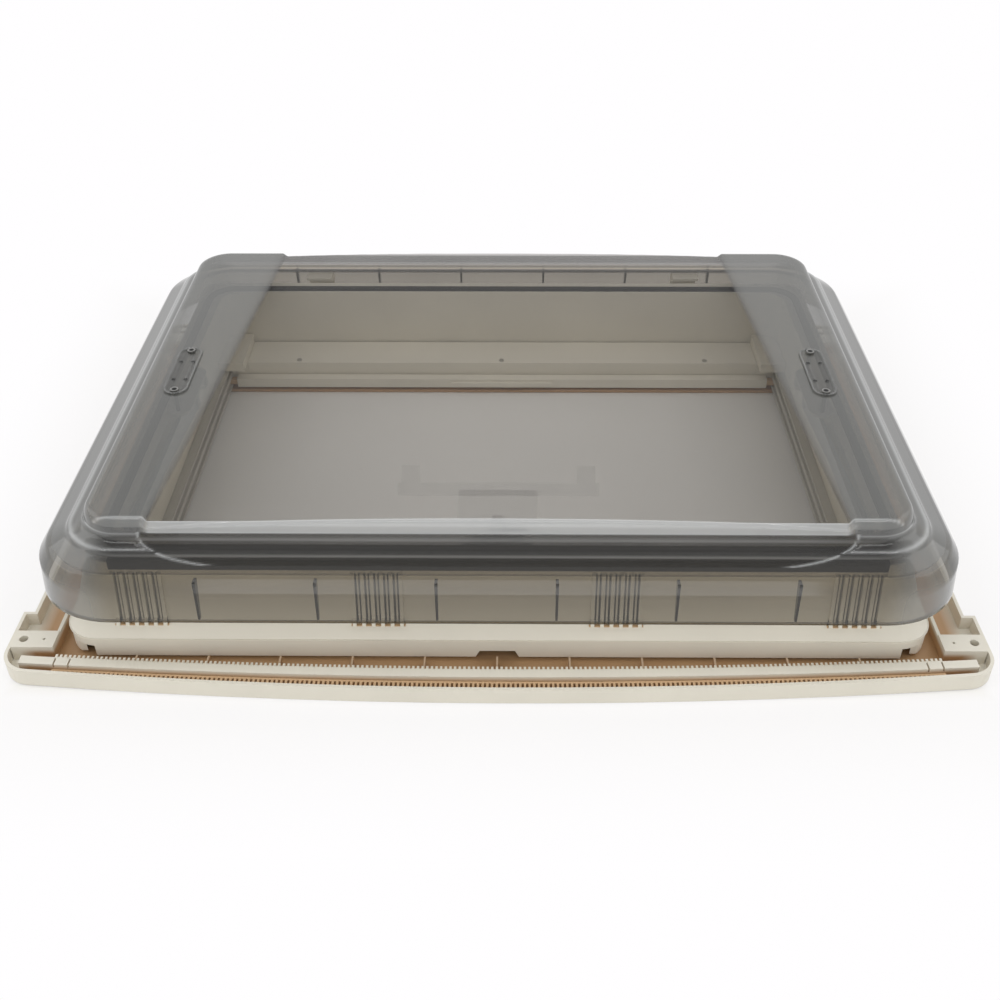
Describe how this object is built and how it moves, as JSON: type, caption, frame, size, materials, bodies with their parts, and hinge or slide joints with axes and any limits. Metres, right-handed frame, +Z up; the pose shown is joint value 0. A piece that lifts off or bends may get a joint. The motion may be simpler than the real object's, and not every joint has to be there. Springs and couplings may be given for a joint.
{
  "type": "caravan roof vent",
  "caption": "Roof vent with a smoked dome on rear hinges and folding stays, a clamped outer frame, and a ceiling trim with a roller blind and an insect screen.",
  "frame": {"origin": "Centre of the rectangle round the whole vent, on the underside of the ceiling trim.", "axes": "+X to the right along the long side, +Y to the hinged rear edge, +Z up and out of the roof."},
  "size_m": [0.86, 0.66, 0.1426],
  "materials": {
    "cream_plastic": "moulded ABS, satin",
    "shaded_plastic": "tan moulded ABS, matt",
    "smoked_acrylic": "thermoformed smoked acrylic, gloss",
    "black_rubber": "extruded EPDM, matt",
    "black_foam": "closed-cell foam",
    "zinc_steel": "zinc-plated pressing",
    "stainless_steel": "turned stainless steel",
    "aluminium": "drawn tube, mill finish",
    "blind_cloth": "coated blackout cloth",
    "insect_mesh": "woven glass-fibre mesh",
    "grey_plastic": "moulded nylon, satin grey",
    "red_plastic": "moulded, gloss"
  },
  "bodies": {
    "root": {"ceiling_trim": "cream_plastic", "vent_combs_front": "shaded_plastic", "vent_combs_rear": "shaded_plastic", "vent_racks": "cream_plastic", "outer_frame": "cream_plastic", "roof_gasket": "black_foam", "roof_clamps": "zinc_steel", "clamp_screws": "zinc_steel", "dome_seal": "black_rubber", "front_vent_strip": "black_rubber", "hinge_bracket_left": "cream_plastic", "hinge_bracket_right": "cream_plastic", "hinge_pins": "stainless_steel", "stay_foot_left": "zinc_steel", "stay_foot_right": "zinc_steel", "stay_foot_pins": "stainless_steel", "latch_keeper": "zinc_steel", "blind_cassette": "cream_plastic", "blind_end_caps": "cream_plastic", "blind_axles": "cream_plastic", "screen_cassette": "cream_plastic", "screen_end_caps": "cream_plastic", "screen_axles": "cream_plastic", "cassette_screws": "stainless_steel", "side_rail_left": "grey_plastic", "side_rail_right": "grey_plastic", "blind_sheet": "blind_cloth", "screen_sheet": "insect_mesh"},
    "dome": {"dome_outer": "smoked_acrylic", "dome_inner": "smoked_acrylic", "hinge_leaf_left": "cream_plastic", "hinge_leaf_right": "cream_plastic", "stay_head_left": "grey_plastic", "stay_head_right": "grey_plastic", "stay_head_pins": "stainless_steel", "stay_covers": "smoked_acrylic", "stay_screws": "stainless_steel", "pane_spacers": "smoked_acrylic", "pull_handle": "smoked_acrylic", "catch_block": "smoked_acrylic"},
    "lower_arm_left": {"stay_lower_arm_left": "zinc_steel", "stay_knee_pin_left": "stainless_steel"},
    "lower_arm_right": {"stay_lower_arm_right": "zinc_steel", "stay_knee_pin_right": "stainless_steel"},
    "upper_arm_left": {"stay_upper_arm_left": "zinc_steel"},
    "upper_arm_right": {"stay_upper_arm_right": "zinc_steel"},
    "latch": {"turn_catch": "smoked_acrylic", "button_spring": "stainless_steel"},
    "button": {"release_button": "red_plastic"},
    "blind_bar": {"blind_pull_bar": "cream_plastic", "blind_bar_shoes": "shaded_plastic"},
    "blind_roller": {"blind_tube": "aluminium", "blind_roll": "blind_cloth"},
    "screen_bar": {"screen_pull_bar": "cream_plastic", "screen_bar_shoes": "shaded_plastic"},
    "screen_roller": {"screen_tube": "aluminium", "screen_roll": "insect_mesh"}
  },
  "joints": [
    {"name": "dome_hinge", "type": "hinge", "parent": "root", "child": "dome", "pos_m": [0, 0.285, 0.07], "axis": [-1, 0, 0], "range_deg": [0, 60]},
    {"name": "stay_foot_left", "type": "hinge", "parent": "root", "child": "lower_arm_left", "pos_m": [-0.323, 0.03355, 0.072], "axis": [-1, 0, 0], "range_deg": [0, 60]},
    {"name": "stay_knee_left", "type": "hinge", "parent": "lower_arm_left", "child": "upper_arm_left", "pos_m": [-0.317, -0.21645, 0.099], "axis": [-1, 0, 0], "range_deg": [-60, 0]},
    {"name": "stay_foot_right", "type": "hinge", "parent": "root", "child": "lower_arm_right", "pos_m": [0.323, 0.03355, 0.072], "axis": [-1, 0, 0], "range_deg": [0, 60]},
    {"name": "stay_knee_right", "type": "hinge", "parent": "lower_arm_right", "child": "upper_arm_right", "pos_m": [0.317, -0.21645, 0.099], "axis": [-1, 0, 0], "range_deg": [-60, 0]},
    {"name": "latch_turn", "type": "hinge", "parent": "dome", "child": "latch", "pos_m": [0, -0.203, 0.09], "axis": [0, 0, -1], "range_deg": [0, 90]},
    {"name": "button_press", "type": "slide", "parent": "latch", "child": "button", "axis": [0, 0, 1], "range_m": [0, 0.0025], "stiffness_N_per_m": 400, "springref_m": -0.004, "deforming": ["button_spring"]},
    {"name": "blind_draw", "type": "slide", "parent": "root", "child": "blind_bar", "axis": [0, -1, 0], "range_m": [0, 0.35], "deforming": ["blind_sheet"]},
    {"name": "blind_spin", "type": "hinge", "parent": "root", "child": "blind_roller", "pos_m": [0, 0.212, 0.01765], "axis": [1, 0, 0], "range_deg": [-2010, 0]},
    {"name": "screen_draw", "type": "slide", "parent": "root", "child": "screen_bar", "axis": [0, 1, 0], "range_m": [0, 0.35], "deforming": ["screen_sheet"]},
    {"name": "screen_spin", "type": "hinge", "parent": "root", "child": "screen_roller", "pos_m": [0, -0.212, 0.01765], "axis": [1, 0, 0], "range_deg": [-2010, 0]}
  ],
  "couplings": [
    {"joint": "stay_foot_left", "follows": "dome_hinge", "ratio": 1},
    {"joint": "stay_knee_left", "follows": "dome_hinge", "ratio": -1},
    {"joint": "stay_foot_right", "follows": "dome_hinge", "ratio": 1},
    {"joint": "stay_knee_right", "follows": "dome_hinge", "ratio": -1},
    {"joint": "blind_spin", "follows": "blind_draw", "rad_per_m": -100},
    {"joint": "screen_spin", "follows": "screen_draw", "rad_per_m": -100}
  ]
}
